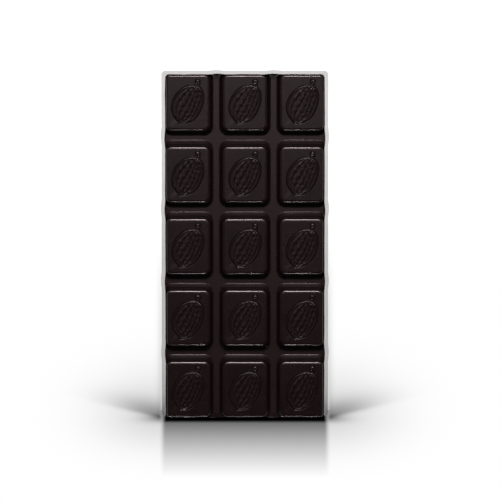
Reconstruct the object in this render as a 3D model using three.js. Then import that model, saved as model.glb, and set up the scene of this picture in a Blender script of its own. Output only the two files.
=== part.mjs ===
import * as THREE from "three";
import { mergeVertices } from "three/addons/utils/BufferGeometryUtils.js";

// Bar of chocolate in a foil tray, embossed side up. Sizes in millimetres: X across, Y along, Z up.

// Layout of the blocks
const columns = 3;
const rows = 5;
const columnPitch = 26.4;
const rowPitch = 33.4;
const faceWidth = 18.6;
const faceLength = 25.0;
const faceCorner = 2.0;
const barFaceCorner = 1.25;

// Heights
const foilThickness = 0.2;
const foilGap = 0.1;
const webThickness = 2.8;
const blockHeight = 5.2;
const backLevel = foilThickness + foilGap;
const floorLevel = backLevel + webThickness;
const faceLevel = floorLevel + blockHeight;

// Walls of a block: a small round at the top edge, a steep wall and a hollow foot
const edgeRound = 0.5;
const edgeInset = 0.2;
const wallLean = THREE.MathUtils.degToRad(20);
const footRound = 1.43;
const cornerGrowth = 0.62;

// Outer walls: how far they run out for each millimetre down, at the long sides and at the ends
const sideLean = 0.285;
const endLean = 0.115;
const ledge = 0.15;
const barCorner = 1.9;

// Places along a groove's mouth, and how much of the bulge the bar's edge has there
const grooveBulge = 0.4;
const betweenGrooves = -0.15;
const mouth = [[-4.6, 0.12], [-2.3, 0.6], [0, 1], [2.3, 0.6], [4.6, 0.12]];

// Foil tray: its rim stands higher at the two ends, and wavers
const foilEdgeRound = 0.7;
const foilRimSide = 6.2;
const foilRimEnd = 7.0;
const foilRimRise = 10;
const foilRimWave = 0.2;

// Cocoa pod on each block, from its tip to its neck, measured from the middle of the face
const podTip = new THREE.Vector2(-4.0, -9.7);
const podNeck = new THREE.Vector2(4.3, 7.5);
const podLeft = 7.35;
const podRight = 6.9;
const podTipPinch = 0.055;
const podGroove = 0.4;
const podDome = 0.18;
const podRib = 0.17;
const podWart = 0.1;

// Stem of the pod: two corners of its foot, a round knob, and the flat top inside the slope of its edge
const stemFoot = [new THREE.Vector2(3.45, 8.05), new THREE.Vector2(5.3, 7.1)];
const stemKnob = new THREE.Vector2(4.45, 9.45);
const stemKnobRadius = 1.2;
const stemKnobStart = THREE.MathUtils.degToRad(-35);
const stemKnobSweep = THREE.MathUtils.degToRad(250);
const stemHeight = 0.3;
const stemSlope = 0.32;

// Fineness of the rounded forms
const cornerSteps = 4;
const stemSteps = 8;
const podStations = [0.025, 0.085, 0.17, 0.28, 0.4, 0.52, 0.64, 0.75, 0.85, 0.93, 0.98];
const podLanes = [
  [-1, "rim"], [-0.93, "groove"], [-0.8, "rib"], [-0.6, "valley"], [-0.42, "rib"], [-0.24, "valley"],
  [-0.04, "wart"], [0.17, "valley"], [0.38, "rib"], [0.58, "valley"], [0.79, "rib"], [0.93, "groove"],
  [1, "rim"],
];

class Surface {
  constructor() {
    this.corners = [];
  }

  triangle(a, b, c) {
    for (const point of [a, b, c]) this.corners.push(point.x, point.y, point.z);
  }

  // Wall between two loops of equal count, both counter-clockwise seen from above
  band(outer, inner) {
    for (let i = 0; i < outer.length; i += 1) {
      const next = (i + 1) % outer.length;
      this.triangle(outer[i], outer[next], inner[next]);
      this.triangle(outer[i], inner[next], inner[i]);
    }
  }

  // Flat sheet inside a contour, around its holes
  sheet(contour, holes, facesUp) {
    const flat = (loop) => loop.map((point) => new THREE.Vector2(point.x, point.y));
    const points = [contour, ...holes].flat();
    for (const [a, b, c] of THREE.ShapeUtils.triangulateShape(flat(contour), holes.map(flat))) {
      const turn = (points[b].x - points[a].x) * (points[c].y - points[a].y)
        - (points[b].y - points[a].y) * (points[c].x - points[a].x);
      if (turn > 0 === facesUp) this.triangle(points[a], points[b], points[c]);
      else this.triangle(points[a], points[c], points[b]);
    }
  }

  geometry() {
    const geometry = new THREE.BufferGeometry();
    geometry.setAttribute("position", new THREE.Float32BufferAttribute(this.corners, 3));
    const merged = mergeVertices(geometry, 1e-4);
    merged.computeVertexNormals();
    return merged;
  }
}

// Rounded rectangle, counter-clockwise from its right side, with its own radius at each corner
function roundedLoop(left, right, near, far, radii, height) {
  const centres = [
    [right - radii[0], far - radii[0]],
    [left + radii[1], far - radii[1]],
    [left + radii[2], near + radii[2]],
    [right - radii[3], near + radii[3]],
  ];
  return centres.flatMap(([x, y], quarter) => Array.from({ length: cornerSteps + 1 }, (unused, step) => {
    const angle = (quarter + step / cornerSteps) * Math.PI / 2;
    return new THREE.Vector3(
      x + radii[quarter] * Math.cos(angle),
      y + radii[quarter] * Math.sin(angle),
      height,
    );
  }));
}

// Levels of a block's wall from foot to face: height above the floor, and how far the wall has run
// from the face edge in a groove, at a long side of the bar and at an end of the bar
function wallLevels() {
  const tilt = Math.PI / 2 - wallLean;
  const top = [0, 0.5, 1].map((share) => {
    const run = -edgeInset + edgeRound * Math.sin(tilt * share);
    return { height: blockHeight - edgeRound * (1 - Math.cos(tilt * share)), run, side: run, end: run };
  });
  const steep = top[2];
  const footTop = footRound * (1 - Math.cos(tilt));
  const footRun = steep.run + (steep.height - footTop) * Math.tan(wallLean) + footRound * Math.sin(tilt);
  const foot = [1, 0.5, 0].map((share) => {
    const height = footRound * (1 - Math.cos(tilt * share));
    return {
      height,
      run: footRun - footRound * Math.sin(tilt * share),
      side: steep.run + (steep.height - height) * sideLean,
      end: steep.run + (steep.height - height) * endLean,
    };
  });
  return [...top, ...foot].reverse();
}

// Middle of a block
function blockCentre(column, row) {
  return new THREE.Vector2(
    (column - (columns - 1) / 2) * columnPitch,
    (row - (rows - 1) / 2) * rowPitch,
  );
}

// Loops of one block from its foot to its face
function blockLoops(column, row) {
  const centre = blockCentre(column, row);
  return wallLevels().map((level) => {
    const left = column === 0 ? level.side : level.run;
    const right = column === columns - 1 ? level.side : level.run;
    const near = row === 0 ? level.end : level.run;
    const far = row === rows - 1 ? level.end : level.run;
    const outer = [column === columns - 1, row === rows - 1, column === 0, row === 0];
    const radii = [[right, far], [left, far], [left, near], [right, near]].map(([across, along], quarter) => {
      const corner = outer[quarter] && outer[(quarter + 1) % 4] ? barFaceCorner : faceCorner;
      return corner + (across + along) / 2 * cornerGrowth;
    });
    return roundedLoop(
      centre.x - faceWidth / 2 - left,
      centre.x + faceWidth / 2 + right,
      centre.y - faceLength / 2 - near,
      centre.y + faceLength / 2 + far,
      radii,
      floorLevel + level.height,
    );
  });
}

// Half width of the pod at a share of its length from the tip
function podHalf(share, width) {
  return width * 2 * Math.sqrt(share * (1 - share)) * (1 - Math.exp(-share / podTipPinch));
}

// Height of the pod's relief above the face
function podRelief(share, lane, kind, station) {
  if (kind === "rim") return 0;
  const fade = Math.min(1, 2.6 * Math.sqrt(share * (1 - share)));
  if (kind === "groove") return -podGroove * fade;
  const dome = podDome * (1 - lane * lane);
  if (kind === "valley") return (dome - podRib) * fade;
  if (kind === "rib") return (dome + podRib) * fade;
  return (dome + podRib + (station % 2 ? podWart : -podWart)) * fade;
}

// Pod on a block, laid out along its own axis; returns the loop where it meets the face
function addPod(surface, centre) {
  const along = podNeck.clone().sub(podTip);
  const length = along.length();
  along.divideScalar(length);
  const across = new THREE.Vector2(along.y, -along.x);
  const place = (share, offset, height) => {
    const point = centre.clone().add(podTip).addScaledVector(along, length * share);
    point.addScaledVector(across, offset);
    return new THREE.Vector3(point.x, point.y, faceLevel + height);
  };
  const tip = place(0, 0, 0);
  const neck = place(1, 0, 0);
  const grid = podStations.map((share, station) => podLanes.map(([lane, kind]) => {
    const half = podHalf(share, lane < 0 ? podLeft : podRight);
    return place(share, lane * half, podRelief(share, lane, kind, station));
  }));
  const last = grid.length - 1;
  for (let j = 0; j + 1 < podLanes.length; j += 1) {
    surface.triangle(tip, grid[0][j + 1], grid[0][j]);
    surface.triangle(neck, grid[last][j], grid[last][j + 1]);
    for (let i = 0; i < last; i += 1) {
      surface.triangle(grid[i][j], grid[i][j + 1], grid[i + 1][j + 1]);
      surface.triangle(grid[i][j], grid[i + 1][j + 1], grid[i + 1][j]);
    }
  }
  const rightEdge = grid.map((line) => line[line.length - 1]);
  const leftEdge = grid.map((line) => line[0]).reverse();
  return [tip, ...rightEdge, neck, ...leftEdge];
}

// Raised stem beside the pod's neck; returns the loop where it meets the face
function addStem(surface, centre) {
  const knob = Array.from({ length: stemSteps + 1 }, (unused, step) => {
    const angle = stemKnobStart + stemKnobSweep * step / stemSteps;
    const reach = new THREE.Vector2(Math.cos(angle), Math.sin(angle));
    return stemKnob.clone().addScaledVector(reach, stemKnobRadius);
  });
  const edge = [...stemFoot, ...knob].map(
    (point) => new THREE.Vector3(centre.x + point.x, centre.y + point.y, faceLevel),
  );
  const middle = edge.reduce((sum, point) => sum.add(point), new THREE.Vector3()).divideScalar(edge.length);
  const top = edge.map((point) => {
    const inner = point.clone().lerp(middle, stemSlope);
    return inner.setZ(faceLevel + stemHeight);
  });
  surface.band(edge, top);
  surface.sheet(top, [], true);
  return edge;
}

// Outline of the bar's edge, counter-clockwise, bulging a little where each groove runs out
function edgeLoop(halfWidth, halfLength, radius, height) {
  const sides = [
    [halfWidth, halfLength, rowPitch, rows - 1],
    [halfLength, halfWidth, columnPitch, columns - 1],
  ];
  const loop = [];
  for (let turn = 0; turn < 4; turn += 1) {
    const [reach, half, pitch, grooves] = sides[turn % 2];
    const add = (out, along) => {
      const point = new THREE.Vector2(out, along).rotateAround(new THREE.Vector2(), turn * Math.PI / 2);
      loop.push(new THREE.Vector3(point.x, point.y, height));
    };
    for (let i = 0; i < grooves; i += 1) {
      const groove = (i - (grooves - 1) / 2) * pitch;
      if (i > 0) add(reach + betweenGrooves * grooveBulge, groove - pitch / 2);
      for (const [step, share] of mouth) add(reach + share * grooveBulge, groove + step);
    }
    for (let step = 0; step <= cornerSteps; step += 1) {
      const angle = step / cornerSteps * Math.PI / 2;
      add(reach - radius + radius * Math.cos(angle), half - radius + radius * Math.sin(angle));
    }
  }
  return loop;
}

// The bar's edge at some height, moved out by an offset
function barEdge(height, offset) {
  const floor = wallLevels()[0];
  const drop = floorLevel - height;
  return edgeLoop(
    (columns - 1) / 2 * columnPitch + faceWidth / 2 + floor.side + ledge + drop * sideLean + offset,
    (rows - 1) / 2 * rowPitch + faceLength / 2 + floor.end + ledge + drop * endLean + offset,
    barCorner + offset,
    height,
  );
}

function chocolate() {
  const surface = new Surface();
  const feet = [];
  for (let column = 0; column < columns; column += 1) {
    for (let row = 0; row < rows; row += 1) {
      const loops = blockLoops(column, row);
      for (let i = 0; i + 1 < loops.length; i += 1) surface.band(loops[i], loops[i + 1]);
      feet.push(loops[0]);
      const centre = blockCentre(column, row);
      const holes = [addPod(surface, centre), addStem(surface, centre)];
      surface.sheet(loops[loops.length - 1], holes, true);
    }
  }
  const floorEdge = barEdge(floorLevel, 0);
  const backEdge = barEdge(backLevel, 0);
  surface.sheet(floorEdge, feet, true);
  surface.band(backEdge, floorEdge);
  surface.sheet(backEdge, [], false);
  return surface.geometry();
}

// Height of the foil's uneven rim at a place on the edge
function foilRim(x, y, halfLength) {
  const rise = THREE.MathUtils.smoothstep(Math.abs(y), halfLength - foilRimRise, halfLength);
  const wave = Math.sin(x * 0.31 + 1.2) * Math.cos(y * 0.113) + 0.6 * Math.sin(y * 0.27 + x * 0.05);
  return THREE.MathUtils.lerp(foilRimSide, foilRimEnd, rise) + foilRimWave * wave;
}

// Loop of the foil's rim: each point slides along the lean of the wall to its own height
function foilRimLoop(offset) {
  const upper = barEdge(foilRimEnd, offset);
  const lower = barEdge(foilRimSide, offset);
  const halfLength = Math.max(...upper.map((point) => point.y));
  return upper.map((point, i) => {
    const height = foilRim(point.x, point.y, halfLength);
    const share = (foilRimEnd - height) / (foilRimEnd - foilRimSide);
    return point.clone().lerp(lower[i], share);
  });
}

function foil() {
  const surface = new Surface();
  const outside = foilGap + foilThickness;
  const outerFoot = barEdge(0, outside - foilEdgeRound);
  const shell = [
    outerFoot,
    barEdge(foilEdgeRound * 0.3, outside - foilEdgeRound * 0.3),
    barEdge(foilEdgeRound, outside),
    foilRimLoop(outside),
    foilRimLoop(foilGap),
    barEdge(foilThickness, foilGap),
  ];
  for (let i = 0; i + 1 < shell.length; i += 1) surface.band(shell[i], shell[i + 1]);
  surface.sheet(outerFoot, [], false);
  surface.sheet(shell[shell.length - 1], [], true);
  return surface.geometry();
}

function piece(name, geometry, colour, roughness, metalness) {
  const material = new THREE.MeshStandardMaterial({ color: colour, roughness, metalness });
  const mesh = new THREE.Mesh(geometry, material);
  mesh.name = name;
  return mesh;
}

const bar = new THREE.Group();
bar.name = "chocolate_bar_in_foil";
bar.add(piece("chocolate_bar", chocolate(), 0x2b201d, 0.38, 0));
bar.add(piece("foil", foil(), 0xc9c6c6, 0.3, 1));

export default bar;
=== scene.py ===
import math
import random

import bmesh
import bpy
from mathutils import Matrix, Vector, noise


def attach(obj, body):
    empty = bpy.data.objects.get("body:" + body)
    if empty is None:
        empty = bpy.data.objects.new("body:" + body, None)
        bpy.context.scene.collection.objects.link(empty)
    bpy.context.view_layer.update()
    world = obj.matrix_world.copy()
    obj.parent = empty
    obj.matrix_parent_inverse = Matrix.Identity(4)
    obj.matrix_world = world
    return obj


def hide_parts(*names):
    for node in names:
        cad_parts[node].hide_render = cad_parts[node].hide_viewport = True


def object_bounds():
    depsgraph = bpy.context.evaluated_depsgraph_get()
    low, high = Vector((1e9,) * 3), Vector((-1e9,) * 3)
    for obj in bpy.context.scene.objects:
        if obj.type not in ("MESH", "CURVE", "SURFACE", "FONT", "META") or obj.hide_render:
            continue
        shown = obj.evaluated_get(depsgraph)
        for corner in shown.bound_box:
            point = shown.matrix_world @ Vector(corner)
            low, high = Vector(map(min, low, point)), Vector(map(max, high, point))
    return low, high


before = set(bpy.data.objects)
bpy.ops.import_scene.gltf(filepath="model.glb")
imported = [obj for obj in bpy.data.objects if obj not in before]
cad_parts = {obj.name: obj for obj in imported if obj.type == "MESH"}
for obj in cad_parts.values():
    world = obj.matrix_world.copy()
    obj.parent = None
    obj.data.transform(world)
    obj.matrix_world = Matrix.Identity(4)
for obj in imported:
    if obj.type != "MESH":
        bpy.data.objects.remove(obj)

cad_low, cad_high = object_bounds()

# Camera. The picture is taken from far off, almost square to the bar's face and a little from its
# top end, so that the walls above the blocks look wider than the walls below them.
picture_width = 0.2305
camera_distance = 2.5
camera_tilt = math.radians(8.5)
aim = Vector((0.00235, -0.00135, cad_high.z))

camera_data = bpy.data.cameras.new("camera")
camera_data.sensor_width = 36
camera_data.lens = camera_data.sensor_width * camera_distance / picture_width
camera = bpy.data.objects.new("camera", camera_data)
camera.location = aim + camera_distance * Vector((0, math.sin(camera_tilt), math.cos(camera_tilt)))
camera.rotation_euler = (-camera_tilt, 0, 0)
bpy.context.scene.collection.objects.link(camera)
bpy.context.scene.camera = camera
bpy.context.scene.view_settings.view_transform = "Standard"


# Studio. A glowing white floor with painted shade and light near the bar, a lamp past the bar's top
# end that draws the thin lines along the blocks' upper edges and casts the shadows below them, a
# weaker one on each side of it, a low one past the lower end, a wide soft one high above, and a weak
# one on each side of the bar.
class Shade:
    """One output of a material's nodes. Arithmetic on it adds Math nodes."""

    def __init__(self, tree, socket=None):
        self.tree = tree
        self.socket = socket

    def node(self, kind, settings, inputs, out=0):
        made = self.tree.nodes.new(kind)
        for name, value in settings.items():
            if name == "stops":
                while len(made.color_ramp.elements) < len(value):
                    made.color_ramp.elements.new(1)
                for element, (place, colour) in zip(made.color_ramp.elements, value):
                    element.position = place
                    element.color = colour
            else:
                setattr(made, name, value)
        for name, value in inputs.items():
            if isinstance(value, Shade):
                self.tree.links.new(value.socket, made.inputs[name])
            else:
                made.inputs[name].default_value = value
        return Shade(self.tree, made.outputs[out])

    def math(self, operation, *values):
        return self.node("ShaderNodeMath", {"operation": operation}, dict(enumerate(values)))

    def __add__(self, other):
        return self.math("ADD", self, other)

    def __sub__(self, other):
        return self.math("SUBTRACT", self, other)

    def __rsub__(self, other):
        return self.math("SUBTRACT", other, self)

    def __mul__(self, other):
        return self.math("MULTIPLY", self, other)

    def __truediv__(self, other):
        return self.math("DIVIDE", self, other)

    def __abs__(self):
        return self.math("ABSOLUTE", self)

    __radd__ = __add__
    __rmul__ = __mul__


def new_material(name, constants):
    """A material with one Principled shader, and the coordinates of the piece that wears it."""
    material = bpy.data.materials.new(name)
    material.use_nodes = True
    shader = material.node_tree.nodes["Principled BSDF"]
    for socket, value in constants.items():
        shader.inputs[socket].default_value = value
    place = Shade(material.node_tree).node("ShaderNodeTexCoord", {}, {}, "Object")
    return material, shader, place


def feed(shader, socket, shade):
    shade.tree.links.new(shade.socket, shader.inputs[socket])


def add_lamp(name, place, target, width, length, power):
    lamp_data = bpy.data.lights.new(name, "AREA")
    lamp_data.shape = "RECTANGLE"
    lamp_data.size = width
    lamp_data.size_y = length
    lamp_data.energy = power
    lamp = bpy.data.objects.new(name, lamp_data)
    lamp.location = place
    lamp.rotation_euler = (Vector(target) - Vector(place)).to_track_quat("-Z", "Y").to_euler()
    bpy.context.scene.collection.objects.link(lamp)


add_lamp("upper_lamp", (0, 0.885, 1.198), (0, 0, 0), 0.23, 0.07, 15.5)
add_lamp("upper_left_lamp", (-0.43, 0.775, 1.198), (0, 0, 0), 0.3, 0.07, 3.5)
add_lamp("upper_right_lamp", (0.43, 0.775, 1.198), (0, 0, 0), 0.3, 0.07, 3.5)
add_lamp("lower_lamp", (0, -1.40, 0.51), (0, 0, 0), 0.07, 0.07, 3.4)
add_lamp("soft_lamp", (0, 0.01, 1.2), (0, 0.01, 0), 0.5, 0.1, 0.37)
add_lamp("left_lamp", (-1.0, 0, 0.7), (0, 0, 0), 0.6, 1.2, 0.4)
add_lamp("right_lamp", (1.0, 0, 0.7), (0, 0, 0), 0.6, 1.2, 0.4)

world = bpy.data.worlds.new("studio")
bpy.context.scene.world = world
world.use_nodes = True
world.node_tree.nodes["Background"].inputs["Color"].default_value = (0, 0, 0, 1)

floor_mesh = bpy.data.meshes.new("floor")
floor_bm = bmesh.new()
bmesh.ops.create_grid(floor_bm, x_segments=1, y_segments=1, size=3)
bmesh.ops.translate(floor_bm, verts=floor_bm.verts, vec=(0, 0, -0.0002))
floor_bm.to_mesh(floor_mesh)
floor_bm.free()
floor = bpy.data.objects.new("floor", floor_mesh)
bpy.context.scene.collection.objects.link(floor)
floor_material, floor_shader, place = new_material("floor_with_painted_shade", {
    "Base Color": (0, 0, 0, 1), "Roughness": 1.0, "Specular IOR Level": 0.0,
    "Emission Color": (1, 1, 1, 1),
})
across = abs(place.node("ShaderNodeSeparateXYZ", {}, {"Vector": place}, 0))
along = place.node("ShaderNodeSeparateXYZ", {}, {"Vector": place}, 1)


def ease(low, high, value, kind="SMOOTHERSTEP"):
    """A rise from 0 to 1 between two limits."""
    limits = {"Value": value, "From Min": low, "From Max": high}
    return value.node("ShaderNodeMapRange", {"interpolation_type": kind}, limits)


def fall(value, width):
    """A smooth fall from 1 at zero and below it to nothing well past a width."""
    share = value.math("MAXIMUM", value, 0.0) / width
    return share.math("EXPONENT", 0.0 - share * share)


# The floor's glow is painted with shade: a painted dark reflection of the bar that fades out past its
# lower end, painted soft shadows that spread from its two lower corners, and a narrow painted shadow
# along each side.
bar_side = 0.0385
bar_end = 0.0813
past_end = -bar_end - along
past_side = across - bar_side
beside = ease(bar_side - 0.002, bar_side + 0.002, across)
painted_reflection = 1.0 - (0.08 + 0.92 * ease(0, 0.0285, past_end, "LINEAR")) * ease(0.0012, 0.0032, past_end)
ridge = 0.0 - past_end - 0.0007 - 0.25 * past_side
painted_corner_shadow = 0.42 * fall(past_side, 0.0226) * fall(ridge, 0.0065) * fall(0.0 - ridge, 0.0018)
painted_thin_corner_shadow = 0.34 * fall(past_side, 0.010) * fall(abs(past_end - 0.0008), 0.0019)
painted_shadow_halo = 0.3 * fall(past_side, 0.030) * fall(0.0 - past_end, 0.0212) * fall(past_end, 0.0148)
painted_side_shadow = 0.22 * fall(past_side, 0.002) * ease(-0.03, 0.06, 0.0 - along)
painted_side_shadow = painted_side_shadow * (1.0 - ease(-0.003, 0, past_end))
floor_glow_with_painted_light = 1.0 - (1.0 - beside) * ease(-0.004, -0.003, past_end) * painted_reflection
floor_glow_with_painted_light = floor_glow_with_painted_light * (1.0 - beside * (painted_corner_shadow + painted_thin_corner_shadow + painted_shadow_halo)) * (1.0 - painted_side_shadow)
# Painted light: the floor glows brighter towards the bar's top end, which the foil's sides reflect.
floor_glow_with_painted_light = floor_glow_with_painted_light * (1.0 + 0.3 * ease(-0.03, 0.07, along) - 0.12 * ease(0.075, 0.09, along))
feed(floor_shader, "Emission Strength", floor_glow_with_painted_light)
floor_mesh.materials.append(floor_material)


# Chocolate. One moulding of dark chocolate: a thin web that carries raised blocks in columns and
# rows. Lengths are in millimetres until the mesh is finished, with the web's back on the foil.
columns = 3
rows = 5
column_pitch = 26.4
row_pitch = 33.4
face_width = 19.2
face_length = 25.0
back_level = 0.3
floor_level = 3.1
block_height = 5.2
face_level = floor_level + block_height

edge_round = 1.3
edge_inset = 0.35
wall_tilt = math.radians(80)
hollow_round = 0.8
slope_high_tilt = math.radians(40)
slope_low_tilt = math.radians(32)
slope_round = 13
foot_round = 0.15
side_overhang = 0.3
side_run_start = 1.6
side_run_share = 0.45
outer_round = 0.7
outer_inset = 0.35
outer_tilt = math.radians(70)
lower_draw = 0.4
face_corner = 2.0
bar_face_corner = 1.25
corner_growth = 0.8
side_lean = 0.285
end_lean = 0.115
ledge = 0.15
bar_corner = 1.9
groove_bulge = 0.4
groove_mouth = 3.4

corner_steps = 8
round_steps = 5


def bell(distance, width):
    return math.exp(-(distance / width) ** 2)


def smooth(low, high, value):
    share = min(1, max(0, (value - low) / (high - low)))
    return share * share * (3 - 2 * share)


def outer_run(height, lean):
    """How far a wall at the bar's edge runs out at a height over the floor."""
    drop = block_height - height
    turned = min(drop, outer_round * (1 - math.cos(outer_tilt)))
    return math.sqrt(turned * (2 * outer_round - turned)) - outer_inset + (drop - turned) * lean


def wall_levels():
    """Each level of a block's wall from foot to face: its height over the floor, and how far out
    it runs from the face's edge: across a groove, along one, at a long side of the bar and at an
    end of it. The wall is round at the face and steep below. A tight hollow leads to a slope and
    to the floor. The slope is shorter at a block's long sides."""
    bends = ((foot_round, 0, slope_low_tilt, 3), (slope_round, slope_low_tilt, slope_high_tilt, 4),
             (hollow_round, slope_high_tilt, wall_tilt, 4))
    rise, back = 0.0, 0.0
    foot = [(0.0, 0.0)]
    for radius, low, high, steps in bends:
        for step in range(1, steps + 1):
            angle = low + (high - low) * step / steps
            foot.append((rise + radius * (math.cos(low) - math.cos(angle)),
                         back + radius * (math.sin(angle) - math.sin(low))))
        rise, back = foot[-1]
    shoulder = []
    for step in range(round_steps + 1):
        angle = wall_tilt * (1 - step / round_steps)
        shoulder.append((block_height - edge_round * (1 - math.cos(angle)),
                         edge_round * math.sin(angle) - edge_inset))
    height, run = shoulder[0]
    full_run = run + (height - rise) / math.tan(wall_tilt) + back
    levels = [(height, full_run - back) for height, back in foot] + shoulder
    return [(height, run - (1 - side_run_share) * max(0, run - side_run_start), run,
             outer_run(height, side_lean) - side_overhang, outer_run(height, end_lean))
            for height, run in levels]


def block_centre(column, row):
    return (column - (columns - 1) / 2) * column_pitch, (row - (rows - 1) / 2) * row_pitch


def edge_half_sizes(height, offset=0.0):
    """Half width and half length of the bar's edge at a height, moved out by an offset."""
    foot = wall_levels()[0]
    drop = floor_level - height
    return (
        (columns - 1) / 2 * column_pitch + face_width / 2 + foot[3] + ledge + drop * side_lean + offset,
        (rows - 1) / 2 * row_pitch + face_length / 2 + foot[4] + ledge + drop * end_lean + offset,
    )


def edge_bulge(place, pitch, count):
    """How far the bar's edge stands out at a place along it, from the grooves that run out there."""
    grooves = [(i - (count - 2) / 2) * pitch for i in range(count - 1)]
    return groove_bulge * (1.15 * sum(bell(place - groove, groove_mouth) for groove in grooves) - 0.15)


def outline_grid(bm, cells, corner_cells, half_sizes, corner):
    """A flat grid from -1 to 1, laid out on the bar's rounded and faintly bulging outline. Each
    vertex keeps its shares of the half sizes, so that its loop can be drawn again at any height."""
    shares = [bm.verts.layers.float.new(name) for name in ("across", "along")]
    verts = bmesh.ops.create_grid(bm, x_segments=cells[0], y_segments=cells[1], size=1)["verts"]
    for vertex in verts:
        place = []
        for axis in (0, 1):
            half, count = half_sizes[axis], cells[axis]
            step = round((vertex.co[axis] + 1) / 2 * count)
            from_end = min(step, count - step)
            if from_end < corner_cells:
                distance = corner * from_end / corner_cells
            else:
                distance = corner + (half - corner) * (from_end - corner_cells) / (count / 2 - corner_cells)
            place.append(math.copysign(half - distance, vertex.co[axis]) if from_end * 2 < count else 0.0)
        u, v = ((abs(place[i]) - half_sizes[i] + corner) / corner for i in (0, 1))
        x, y = place
        if u > 0 and v > 0:
            x = math.copysign(half_sizes[0] - corner + corner * u * math.sqrt(1 - v * v / 2), x)
            y = math.copysign(half_sizes[1] - corner + corner * v * math.sqrt(1 - u * u / 2), y)
        out_x = smooth(0.7, 1, abs(x) / half_sizes[0]) * edge_bulge(y, row_pitch, rows)
        out_y = smooth(0.85, 1, abs(y) / half_sizes[1]) * edge_bulge(x, column_pitch, columns)
        vertex.co = (x + math.copysign(out_x, x), y + math.copysign(out_y, y), 0)
        vertex[shares[0]] = vertex.co.x / half_sizes[0]
        vertex[shares[1]] = vertex.co.y / half_sizes[1]
    return verts, shares


def extrude_rim(bm, rim, move):
    """Extrudes a loop of edges, moves each new vertex, and returns the new loop."""
    grown = bmesh.ops.extrude_edge_only(bm, edges=rim)["geom"]
    for item in grown:
        if isinstance(item, bmesh.types.BMVert):
            item.co = move(item)
    return [item for item in grown if isinstance(item, bmesh.types.BMEdge)]


def rounded_point(count, left, right, near, far, radii):
    """The point of a rounded rectangle that a vertex's number in its ring stands for."""
    quarter, step = divmod(round(count), corner_steps + 1)
    radius = radii[quarter]
    x = (right - radius, left + radius, left + radius, right - radius)[quarter]
    y = (far - radius, far - radius, near + radius, near + radius)[quarter]
    angle = (quarter + step / corner_steps) * math.pi / 2
    return x + radius * math.cos(angle), y + radius * math.sin(angle)


def face_ring_point(count, inset):
    """A point of the ring inside every block's face, measured from the face's middle."""
    x, y = face_width / 2 - inset, face_length / 2 - inset
    return rounded_point(count, -x, x, lower_draw - y, y, [face_corner - inset * corner_growth] * 4)


def add_ring(bm, number, place):
    """A ring of numbered vertices. Returns its edges."""
    ring = bmesh.ops.create_circle(bm, segments=4 * (corner_steps + 1), radius=1)["verts"]
    for count, vertex in enumerate(ring):
        vertex[number] = count
        vertex.co = place(vertex)
    return list({edge for vertex in ring for edge in vertex.link_edges})


def add_block_walls(bm, number, column, row):
    """The walls of one block, from a ring on the floor to a ring in its face. Returns the first."""
    x, y = block_centre(column, row)
    outer = (column == columns - 1, row == rows - 1, column == 0, row == 0)
    corners = [bar_face_corner if outer[i] and outer[(i + 1) % 4] else face_corner for i in range(4)]

    def ring_at(level, out=0.0):
        height, *runs = level
        right, far, left, near = (
            runs[direction + 2 if outer[quarter] else direction] + out
            for quarter, direction in enumerate((0, 1, 0, 1))
        )
        if not outer[3]:
            near -= lower_draw * smooth(1, 3.8, height)
        pairs = ((right, far), (far, left), (left, near), (near, right))
        radii = [radius + sum(pair) / 2 * corner_growth for radius, pair in zip(corners, pairs)]
        return lambda vertex: (
            *rounded_point(vertex[number], x - face_width / 2 - left, x + face_width / 2 + right,
                           y - face_length / 2 - near, y + face_length / 2 + far, radii),
            floor_level + height,
        )

    def face_ring(vertex):
        inner_x, inner_y = face_ring_point(vertex[number], edge_inset + 0.35)
        return x + inner_x, y + inner_y, face_level

    levels = wall_levels()
    foot = add_ring(bm, number, ring_at(levels[0], 0.03))
    rim = foot
    for level in levels:
        rim = extrude_rim(bm, rim, ring_at(level))
    extrude_rim(bm, rim, face_ring)
    return foot


# Relief on each block: a cocoa pod leaning to the right, cut round by a groove, with ribs that
# run from its tip to its neck, rows of small warts, and a short stem with a round knob.
pod_tip = Vector((-3.8, -10.2))
pod_neck = Vector((5.2, 8.1))
pod_left = 8.1
pod_right = 6.25
pod_tip_pinch = 0.06
pod_length = (pod_neck - pod_tip).length
pod_along = (pod_neck - pod_tip) / pod_length
pod_across = Vector((pod_along.y, -pod_along.x))
pod_rows = 68
pod_lanes = 64

outline_groove = 0.24
outline_groove_place = 0.45
outline_groove_width = 0.27
rim_ridge = 0.12
rim_ridge_place = 1.0
rim_ridge_width = 0.26
pod_dome = 0.08
rib_height = 0.1
rib_spacing = 0.31
wart_height = 0.09
wart_radius = 0.42
wart_rows = ((-0.47, 6), (-0.16, 8), (0.16, 8), (0.47, 6))
collar_height = 0.14
collar_radius = 2.2

stem_foot = [Vector((3.3, 9.22)), Vector((6.3, 7.85))]
stem_knob = Vector((4.75, 9.85))
stem_knob_radius = 1.5
stem_middle = Vector((4.85, 9.45))
stem_height = 0.34
stem_rings = ((0.96, 0), (0.9, -0.6), (0.8, -0.6), (0.7, 0.2), (0.6, 0.9), (0.45, 1), (0.2, 0.8))


def pod_half(share, width):
    return width * 2 * math.sqrt(max(0, share * (1 - share))) * (1 - math.exp(-share / pod_tip_pinch))


def pod_point(share, lane):
    half = pod_half(share, pod_left if lane < 0 else pod_right)
    return pod_tip + pod_along * pod_length * share + pod_across * lane * half


def wart_places():
    """Warts in rows between the ribs, each a little off its row's line."""
    draw = random.Random(7)
    places = []
    for lane, count in wart_rows:
        for step in range(count):
            share = 0.12 + 0.78 * (step + 0.5 + draw.uniform(-0.2, 0.2)) / count
            places.append((pod_point(share, lane + draw.uniform(-0.06, 0.06)), draw.uniform(0.6, 1)))
    return places


pod_outline = [pod_point((1 - math.cos(math.pi * step / 90)) / 2, side)
               for side in (-1, 1) for step in range(91)]
warts = wart_places()


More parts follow.
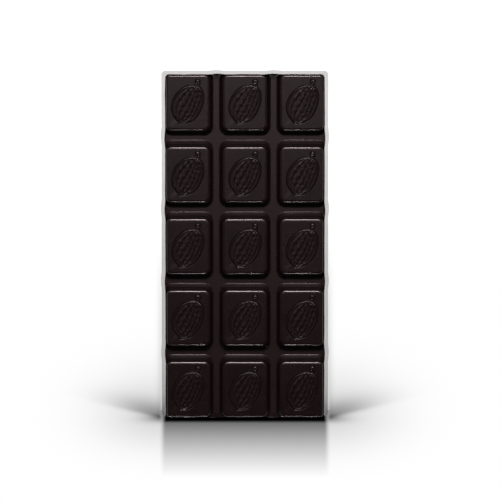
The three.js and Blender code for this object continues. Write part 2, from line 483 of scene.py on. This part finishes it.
def pod_relief(share, lane, point):
    """Height of the pod over the face at a point, and how far it lies in a groove, for painted shade."""
    inside = min((point - other).length for other in pod_outline)
    body = smooth(0.5, 1.45, inside) * smooth(0, 0.12, share) * smooth(0, 0.06, 1 - share)
    height = -outline_groove * bell(inside - outline_groove_place, outline_groove_width)
    ends = smooth(0, 0.07, share) * smooth(0, 0.04, 1 - share)
    height += ends * rim_ridge * bell(inside - rim_ridge_place, rim_ridge_width)
    height += body * pod_dome * (1 - lane * lane)
    wander = lane + 0.03 * math.sin(9 * share + 4 * lane)
    crest = (1 + math.cos(2 * math.pi * wander / rib_spacing)) / 2
    knobs = 1 + 0.25 * math.sin(38 * share + 11 * lane)
    height += body * rib_height * (2.4 * crest ** 4 * knobs - 0.8)
    for place, size in warts:
        distance = (point - place).length
        if distance < 3 * wart_radius:
            height += body * wart_height * size * bell(distance, wart_radius)
    to_neck = point - pod_neck
    below = smooth(0.2, 0.8, -to_neck.normalized().dot(pod_along))
    height += collar_height * below * bell(to_neck.length - collar_radius, 0.32)
    groove = bell(inside - outline_groove_place, 1.2 * outline_groove_width)
    groove += 0.4 * body * (1 - crest) ** 3
    return min(0.43, height) * smooth(0.15, 0.35, inside), min(1, groove)


def add_pod(bm, groove):
    pod = bmesh.ops.create_grid(bm, x_segments=pod_lanes, y_segments=pod_rows, size=1)["verts"]
    for vertex in pod:
        u, v = vertex.co.xy
        lane = 0.5 * u + 0.5 * math.sin(math.pi / 2 * u)
        share = (1 - math.cos(math.pi * (v + 1) / 2)) / 2
        point = pod_point(share, lane)
        at_rim = max(abs(u), abs(v)) > 0.9999
        height, vertex[groove] = (0, 0) if at_rim else pod_relief(share, lane, point)
        vertex.co = (*point, height)


def add_stem(bm, number, groove):
    """The stem: rings drawn in from its outline to a point on its top."""
    knob_steps = 20

    def outline(count):
        if count < 2:
            return stem_foot[round(count)]
        angle = math.radians(-30 + 240 * (count - 2) / (knob_steps - 1))
        return stem_knob + stem_knob_radius * Vector((math.cos(angle), math.sin(angle)))

    ring = bmesh.ops.create_circle(bm, segments=knob_steps + 2, radius=1)["verts"]
    for count, vertex in enumerate(ring):
        vertex[number] = count
        vertex.co = (*outline(count), 0)
    rim = list({edge for vertex in ring for edge in vertex.link_edges})
    for scale, height in stem_rings:
        def inward(vertex, scale=scale, height=height):
            vertex[groove] = 1.0 if height < 0 else 0.0
            return (*stem_middle.lerp(outline(vertex[number]), scale), height * stem_height)
        rim = extrude_rim(bm, rim, inward)
    bmesh.ops.triangle_fill(bm, edges=rim, use_beauty=True, normal=(0, 0, 1))


def build_block_face():
    """The flat face inside its ring, with the pod and the stem in it, as a mesh round its middle."""
    bm = bmesh.new()
    number, groove = (bm.verts.layers.float.new(name) for name in ("ring", "groove"))
    add_ring(bm, number, lambda vertex: (*face_ring_point(vertex[number], edge_inset + 0.35), 0))
    add_pod(bm, groove)
    add_stem(bm, number, groove)
    bmesh.ops.remove_doubles(bm, verts=bm.verts, dist=0.002)
    open_edges = [edge for edge in bm.edges if len(edge.link_faces) < 2]
    bmesh.ops.triangle_fill(bm, edges=open_edges, use_beauty=True, normal=(0, 0, 1))
    mesh = bpy.data.meshes.new("block_face")
    bm.to_mesh(mesh)
    bm.free()
    return mesh


def build_chocolate():
    bm = bmesh.new()
    number, _ = [bm.verts.layers.float.new(name) for name in ("ring", "groove")]
    verts, shares = outline_grid(bm, (44, 80), 5, edge_half_sizes(back_level, -0.25), bar_corner)
    bmesh.ops.translate(bm, verts=verts, vec=(0, 0, back_level))
    rim = [edge for edge in bm.edges if len(edge.link_faces) == 1]
    for height, inset in ((back_level + 0.08, 0.08), (back_level + 0.25, 0), (floor_level - 0.06, 0),
                          (floor_level - 0.015, 0.01), (floor_level, 0.04)):
        width, length = edge_half_sizes(height, -inset)
        rim = extrude_rim(bm, rim, lambda vertex: (
            vertex[shares[0]] * width, vertex[shares[1]] * length, height))

    feet = []
    for column in range(columns):
        for row in range(rows):
            feet += add_block_walls(bm, number, column, row)
    bmesh.ops.triangle_fill(bm, edges=rim + feet, use_beauty=True, normal=(0, 0, 1))

    face = build_block_face()
    for column in range(columns):
        for row in range(rows):
            start = len(bm.verts)
            bm.from_mesh(face)
            bm.verts.ensure_lookup_table()
            bmesh.ops.translate(bm, verts=bm.verts[start:], vec=(*block_centre(column, row), face_level))
    bpy.data.meshes.remove(face)
    bmesh.ops.remove_doubles(bm, verts=bm.verts, dist=0.002)
    bmesh.ops.recalc_face_normals(bm, faces=bm.faces)
    return bm


def finish_piece(bm, name, material, node):
    """Brings a mesh from millimetres to metres and puts it in the place of a CAD node."""
    bmesh.ops.scale(bm, verts=bm.verts, vec=(0.001, 0.001, 0.001))
    mesh = bpy.data.meshes.new(name)
    bm.to_mesh(mesh)
    bm.free()
    mesh.polygons.foreach_set("use_smooth", [True] * len(mesh.polygons))
    mesh.materials.append(material)
    piece = bpy.data.objects.new(name, mesh)
    bpy.context.scene.collection.objects.link(piece)
    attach(piece, "root")
    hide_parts(node)
    return piece


chocolate_material, chocolate_shader, place = new_material("dark_chocolate", {
    "IOR": 1.5, "Specular Tint": (1.0, 0.85, 0.87, 1),
})
cloud = place.node("ShaderNodeTexNoise", {}, {"Vector": place, "Scale": 95, "Detail": 3})
speck = place.node("ShaderNodeTexNoise", {}, {"Vector": place, "Scale": 900, "Detail": 4})
swell = place.node("ShaderNodeTexNoise", {}, {"Vector": place, "Scale": 130, "Detail": 1})
brown_and_painted_web_light = place.node(
    "ShaderNodeValToRGB",
    {"stops": [(0.3, (0.0066, 0.0027, 0.0028, 1)), (0.7, (0.0088, 0.0034, 0.0036, 1))]},
    {"Fac": cloud * 0.7 + speck * 0.3},
)
# Painted light: the web between the blocks is painted a lighter brown than the blocks.
height = place.node("ShaderNodeSeparateXYZ", {}, {"Vector": place}, 2)
on_web = 1.0 - ease(0.0033, 0.0039, height)
web_painted_light = (0.0048, 0.003, 0.003)
brown_and_painted_web_light = place.node(
    "ShaderNodeVectorMath", {"operation": "MULTIPLY_ADD"}, {0: web_painted_light, 1: on_web, 2: brown_and_painted_web_light})
feed(chocolate_shader, "Base Color", brown_and_painted_web_light)
on_wall = ease(0.0039, 0.0043, height) * (1.0 - ease(0.0074, 0.00795, height))
feed(chocolate_shader, "Roughness", 0.2 + 0.08 * cloud + 0.04 * speck + 0.35 * on_wall)
chocolate_bump = place.node(
    "ShaderNodeBump", {}, {"Strength": 0.09, "Distance": 0.0001, "Height": swell + 0.08 * speck})
feed(chocolate_shader, "Normal", chocolate_bump)

# Painted shade: a darker, duller shader is mixed in on the blocks' walls, along the pod's grooves and in
# the valleys between its ribs, where shade falls.
nodes = chocolate_material.node_tree.nodes
painted_shade_shader = nodes.new("ShaderNodeBsdfPrincipled")
for socket, value in {"Base Color": (0.0042, 0.0018, 0.0018, 1), "Roughness": 0.6,
                      "IOR": 1.5, "Specular IOR Level": 0.1}.items():
    painted_shade_shader.inputs[socket].default_value = value
groove_shade_share = place.node("ShaderNodeAttribute", {"attribute_name": "groove"}, {}, "Fac")
painted_shade_mix = nodes.new("ShaderNodeMixShader")
feed(painted_shade_mix, "Fac", 0.8 * groove_shade_share + 0.8 * on_wall)
links = chocolate_material.node_tree.links
links.new(chocolate_shader.outputs["BSDF"], painted_shade_mix.inputs[1])
links.new(painted_shade_shader.outputs["BSDF"], painted_shade_mix.inputs[2])
links.new(painted_shade_mix.outputs["Shader"], nodes["Material Output"].inputs["Surface"])

finish_piece(build_chocolate(), "chocolate", chocolate_material, "chocolate_bar")


# Foil. The bar's own wrapper of thin silver foil, pressed against its back and up its sloping
# sides, where its cut rim wavers a little below the blocks' faces. At the bar's lower end the rim
# is turned down below the grooves.
foil_thickness = 0.06
foil_offset = 0.28
foil_edge_round = 0.7
rim_side = 7.1
rim_end = 7.7
rim_low = 2.5
rim_rise = 10
rim_drop = 1.6
rim_wave = 0.2
climb_steps = 8


def foil_rim_height(x, y):
    half_length = edge_half_sizes(rim_end)[1]
    level = rim_side + (rim_end - rim_side) * smooth(half_length - rim_rise, half_length, y)
    level += (rim_low - level) * smooth(half_length - rim_drop, half_length, -y)
    wave = math.sin(x * 0.31 + 1.2) * math.cos(y * 0.113) + 0.6 * math.sin(y * 0.27 + x * 0.05)
    return level + rim_wave * wave


def crease(place):
    """Small sharp folds of pressed foil, from about -1 to 1."""
    coarse = 1 - 2 * abs(noise.noise(place * 0.21))
    fine = 1 - 2 * abs(noise.noise(place * 0.55 + Vector((40, 0, 0))))
    return 1.3 * coarse + 0.8 * fine - 1.5


def build_foil():
    bm = bmesh.new()
    base = edge_half_sizes(0, foil_offset - foil_edge_round)
    verts, shares = outline_grid(bm, (84, 170), 5, base, bar_corner)
    rim = [edge for edge in bm.edges if len(edge.link_faces) == 1]
    rim_verts = {vertex for edge in rim for vertex in edge.verts}
    for vertex in verts:
        vertex.co.z = 0.13 + (0 if vertex in rim_verts else 0.045 * crease(vertex.co))

    def on_wall(vertex, height, inset, crumple):
        width, length = edge_half_sizes(height, foil_offset - inset)
        across, along = vertex[shares[0]], vertex[shares[1]]
        bend = 0.03 * crumple * (1 - crease(Vector((across * width, along * length, height * 0.6))))
        return across * width * (1 - bend / width), along * length * (1 - bend / length), height

    for turn in (30, 60, 90):
        angle = math.radians(turn)
        height = 0.13 + (foil_edge_round - 0.13) * (1 - math.cos(angle))
        inset = foil_edge_round * (1 - math.sin(angle))
        rim = extrude_rim(bm, rim, lambda vertex: on_wall(vertex, height, inset, turn / 90))
    for step in range(1, climb_steps + 1):
        def climb(vertex):
            width, length = edge_half_sizes(rim_end)
            top = foil_rim_height(vertex[shares[0]] * width, vertex[shares[1]] * length)
            height = foil_edge_round + (top - foil_edge_round) * step / climb_steps
            return on_wall(vertex, height, 0, 1)
        rim = extrude_rim(bm, rim, climb)
    bmesh.ops.recalc_face_normals(bm, faces=bm.faces)
    if sum(face.normal.z for face in bm.faces) > 0:
        bmesh.ops.reverse_faces(bm, faces=bm.faces)
    bmesh.ops.solidify(bm, geom=bm.faces[:], thickness=foil_thickness)
    bmesh.ops.recalc_face_normals(bm, faces=bm.faces)
    return bm


foil_material, foil_shader, place = new_material("silver_foil", {
    "Base Color": (0.5, 0.477, 0.477, 1), "Metallic": 1.0,
})
crinkle = place.node("ShaderNodeTexNoise", {}, {"Vector": place, "Scale": 260, "Detail": 3})
grain = place.node("ShaderNodeTexNoise", {}, {"Vector": place, "Scale": 1400, "Detail": 2})
feed(foil_shader, "Roughness", 0.3 + 0.2 * crinkle)
foil_bump = place.node(
    "ShaderNodeBump", {}, {"Strength": 0.5, "Distance": 0.0002, "Height": crinkle + 0.1 * grain})
feed(foil_shader, "Normal", foil_bump)

finish_piece(build_foil(), "foil_tray", foil_material, "foil")
